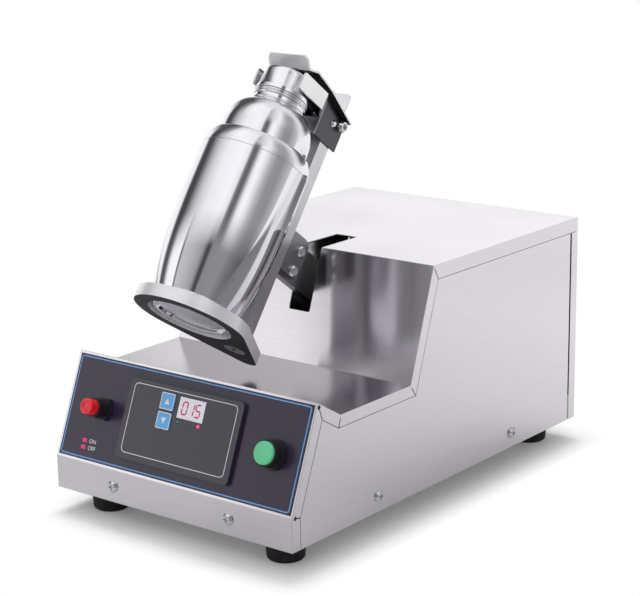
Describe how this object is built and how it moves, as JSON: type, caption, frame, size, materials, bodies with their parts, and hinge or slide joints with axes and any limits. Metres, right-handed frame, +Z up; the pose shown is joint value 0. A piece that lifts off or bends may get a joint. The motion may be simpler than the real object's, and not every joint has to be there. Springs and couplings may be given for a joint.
{
  "type": "shaker machine",
  "caption": "Countertop drink shaking machine: steel cabinet with a sloped timer panel and a rocking cradle that clamps a cobbler shaker by its foot and cap.",
  "frame": {"origin": "middle of the object's box, on the surface that the feet stand on", "axes": "+Z up, +Y to the back of the cabinet, +X to the right as seen from the control panel"},
  "size_m": [0.2448, 0.4054, 0.3561],
  "materials": {
    "cabinet_steel": "brushed",
    "rubber": "matt",
    "screw_steel": "bright",
    "overlay_film": "satin",
    "timer_plastic": "satin",
    "display_plastic": "clear gloss",
    "green_lens": "gloss",
    "red_lens": "gloss",
    "key_blue": "satin",
    "board": "solder mask",
    "button_red": "gloss",
    "button_green": "gloss",
    "black_plastic": "satin",
    "motor_paint": "satin",
    "cast_alloy": "cast",
    "drive_steel": "machined",
    "cradle_steel": "satin",
    "spring_steel": "drawn",
    "shaker_steel": "polished"
  },
  "bodies": {
    "cabinet": {"base_pan": "cabinet_steel", "main_cover": "cabinet_steel", "left_side_panel": "cabinet_steel", "right_side_panel": "cabinet_steel", "rear_cover": "cabinet_steel", "foot_front_left": "rubber", "foot_front_right": "rubber", "foot_rear_left": "rubber", "foot_rear_right": "rubber", "foot_screws": "screw_steel", "cover_screws": "screw_steel", "rear_screws": "screw_steel", "control_overlay": "overlay_film", "timer_frame": "timer_plastic", "display_window": "display_plastic", "green_lamp": "green_lens", "red_lamp": "red_lens", "control_board": "board", "power_collar": "black_plastic", "power_switch": "black_plastic", "start_collar": "black_plastic", "start_switch": "black_plastic", "panel_nuts": "screw_steel", "power_inlet": "black_plastic", "inlet_screws": "screw_steel", "motor": "motor_paint", "gearbox": "cast_alloy", "motor_bracket": "drive_steel", "drive_bolts": "motor_paint", "run_capacitor": "cast_alloy", "capacitor_clip": "drive_steel", "bearing_stand_left": "cast_alloy", "bearing_stand_right": "cast_alloy", "shaft_bearings": "drive_steel"},
    "crank": {"output_shaft": "drive_steel", "crank_disc": "drive_steel", "crank_pin": "drive_steel"},
    "rod": {"connecting_rod": "drive_steel"},
    "cradle": {"main_shaft": "drive_steel", "rocker_lever": "drive_steel", "rod_pin": "drive_steel", "swing_arm": "cradle_steel", "lug_plate": "cradle_steel", "cradle_screws": "screw_steel", "spine": "cradle_steel", "base_plate": "cradle_steel", "fork_bracket": "cradle_steel", "stop_pin": "screw_steel", "latch_pivot": "screw_steel", "latch_spring": "spring_steel", "shaker_body": "shaker_steel", "shaker_lid": "shaker_steel", "shaker_cap": "shaker_steel"},
    "latch": {"latch_strap": "cradle_steel", "latch_pad": "rubber"},
    "power_push": {"power_button": "button_red"},
    "start_push": {"start_button": "button_green"},
    "up_push": {"up_key": "key_blue"},
    "down_push": {"down_key": "key_blue"}
  },
  "joints": [
    {"name": "arm_swing", "type": "hinge", "parent": "cabinet", "child": "cradle", "pos_m": [0, 0.03166, 0.13388], "axis": [-1, 0, 0], "range_deg": [0, 30]},
    {"name": "crank_turn", "type": "hinge", "parent": "cabinet", "child": "crank", "pos_m": [-0.045, 0.07803, 0.0669], "axis": [1, 0, 0], "range_deg": [0, 180]},
    {"name": "rod_swing", "type": "hinge", "parent": "cradle", "child": "rod", "pos_m": [-0.06, 0.07803, 0.1463], "axis": [-1, 0, 0], "range_deg": [-30, 0]},
    {"name": "latch_open", "type": "hinge", "parent": "cradle", "child": "latch", "pos_m": [0, 0.0031, 0.29365], "axis": [-1, 0, 0], "range_deg": [0, 75], "stiffness_Nm_per_rad": 0.3, "springref_deg": -28.65, "deforming": ["latch_spring"]},
    {"name": "power_press", "type": "slide", "parent": "cabinet", "child": "power_push", "axis": [0, 0.9277, -0.3734], "range_m": [0, 0.003], "stiffness_N_per_m": 400, "springref_m": -0.002},
    {"name": "start_press", "type": "slide", "parent": "cabinet", "child": "start_push", "axis": [0, 0.9277, -0.3734], "range_m": [0, 0.003], "stiffness_N_per_m": 400, "springref_m": -0.002},
    {"name": "up_press", "type": "slide", "parent": "cabinet", "child": "up_push", "axis": [0, 0.9277, -0.3734], "range_m": [0, 0.0005], "stiffness_N_per_m": 600, "springref_m": -0.0005},
    {"name": "down_press", "type": "slide", "parent": "cabinet", "child": "down_push", "axis": [0, 0.9277, -0.3734], "range_m": [0, 0.0005], "stiffness_N_per_m": 600, "springref_m": -0.0005}
  ],
  "couplings": [
    {"joint": "crank_turn", "follows": "arm_swing", "ratio": 6},
    {"joint": "rod_swing", "follows": "arm_swing", "ratio": -1}
  ]
}
